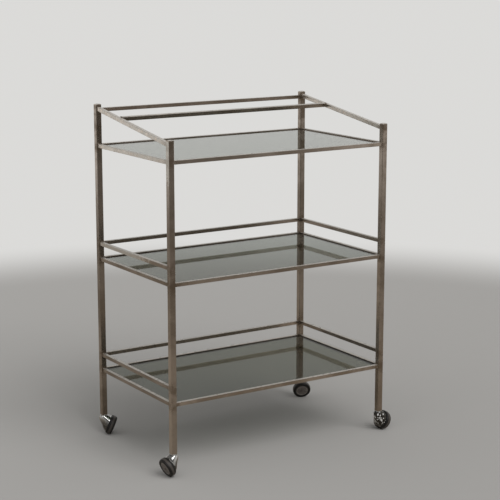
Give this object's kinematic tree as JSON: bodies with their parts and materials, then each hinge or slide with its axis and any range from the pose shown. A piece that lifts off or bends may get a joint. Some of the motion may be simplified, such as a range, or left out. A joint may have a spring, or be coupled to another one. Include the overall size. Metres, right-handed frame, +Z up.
{
  "type": "bar cart",
  "caption": "Bar cart with square steel tube legs, smoked glass shelves in ledged frames, low gallery rails, a sloping top gallery with a bottle rail, and hooded ball casters.",
  "frame": {"origin": "on the floor, midway between the four legs", "axes": "+X to the right, +Y to the back, where the gallery is highest, and +Z up"},
  "size_m": [0.7056, 0.4179, 0.8842],
  "materials": {
    "frame_steel": "worn brushed nickel, warm grey",
    "smoked_glass": "polished, smoked grey",
    "chrome": "polished",
    "pin_steel": "turned",
    "wheel_plastic": "satin dark grey",
    "socket_plastic": "light grey",
    "tyre": "matte black"
  },
  "bodies": {
    "cart_frame": {"leg_front_left": "frame_steel", "leg_front_right": "frame_steel", "leg_back_left": "frame_steel", "leg_back_right": "frame_steel", "leg_caps": "frame_steel", "top_back_rail": "frame_steel", "top_left_rail": "frame_steel", "top_right_rail": "frame_steel", "bottle_rail": "frame_steel", "top_front_bar": "frame_steel", "top_back_bar": "frame_steel", "top_left_bar": "frame_steel", "top_right_bar": "frame_steel", "middle_front_bar": "frame_steel", "middle_back_bar": "frame_steel", "middle_left_bar": "frame_steel", "middle_right_bar": "frame_steel", "bottom_front_bar": "frame_steel", "bottom_back_bar": "frame_steel", "bottom_left_bar": "frame_steel", "bottom_right_bar": "frame_steel", "middle_back_rail": "frame_steel", "middle_left_rail": "frame_steel", "middle_right_rail": "frame_steel", "bottom_back_rail": "frame_steel", "bottom_left_rail": "frame_steel", "bottom_right_rail": "frame_steel", "top_glass": "smoked_glass", "middle_glass": "smoked_glass", "bottom_glass": "smoked_glass", "front_left_socket": "socket_plastic", "front_right_socket": "socket_plastic", "back_left_socket": "socket_plastic", "back_right_socket": "socket_plastic"},
    "front_left_caster": {"front_left_hood": "chrome", "front_left_stem": "pin_steel", "front_left_axle": "pin_steel"},
    "front_left_wheel_body": {"front_left_wheel": "wheel_plastic", "front_left_tyre": "tyre", "front_left_hub_cap": "wheel_plastic"},
    "front_right_caster": {"front_right_hood": "chrome", "front_right_stem": "pin_steel", "front_right_axle": "pin_steel"},
    "front_right_wheel_body": {"front_right_wheel": "wheel_plastic", "front_right_tyre": "tyre", "front_right_hub_cap": "wheel_plastic"},
    "back_left_caster": {"back_left_hood": "chrome", "back_left_stem": "pin_steel", "back_left_axle": "pin_steel"},
    "back_left_wheel_body": {"back_left_wheel": "wheel_plastic", "back_left_tyre": "tyre", "back_left_hub_cap": "wheel_plastic"},
    "back_right_caster": {"back_right_hood": "chrome", "back_right_stem": "pin_steel", "back_right_axle": "pin_steel"},
    "back_right_wheel_body": {"back_right_wheel": "wheel_plastic", "back_right_tyre": "tyre", "back_right_hub_cap": "wheel_plastic"}
  },
  "joints": [
    {"name": "front_left_swivel", "type": "hinge", "parent": "cart_frame", "child": "front_left_caster", "pos_m": [-0.3175, -0.1855, 0.055], "axis": [0, 0, 1], "continuous": true},
    {"name": "front_left_roll", "type": "hinge", "parent": "front_left_caster", "child": "front_left_wheel_body", "pos_m": [-0.33638, -0.18916, 0.02498], "axis": [-0.913, -0.0319, -0.4067], "continuous": true},
    {"name": "front_right_swivel", "type": "hinge", "parent": "cart_frame", "child": "front_right_caster", "pos_m": [0.3175, -0.1855, 0.055], "axis": [0, 0, 1], "continuous": true},
    {"name": "front_right_roll", "type": "hinge", "parent": "front_right_caster", "child": "front_right_wheel_body", "pos_m": [0.3359, -0.17988, 0.02498], "axis": [0.9047, 0.1271, -0.4067], "continuous": true},
    {"name": "back_left_swivel", "type": "hinge", "parent": "cart_frame", "child": "back_left_caster", "pos_m": [-0.3175, 0.1855, 0.055], "axis": [0, 0, 1], "continuous": true},
    {"name": "back_left_roll", "type": "hinge", "parent": "back_left_caster", "child": "back_left_wheel_body", "pos_m": [-0.29955, 0.1786, 0.02498], "axis": [0.7912, -0.4568, -0.4067], "continuous": true},
    {"name": "back_right_swivel", "type": "hinge", "parent": "cart_frame", "child": "back_right_caster", "pos_m": [0.3175, 0.1855, 0.055], "axis": [0, 0, 1], "continuous": true},
    {"name": "back_right_roll", "type": "hinge", "parent": "back_right_caster", "child": "back_right_wheel_body", "pos_m": [0.31219, 0.16701, 0.02498], "axis": [-0.3861, -0.828, -0.4067], "continuous": true}
  ]
}
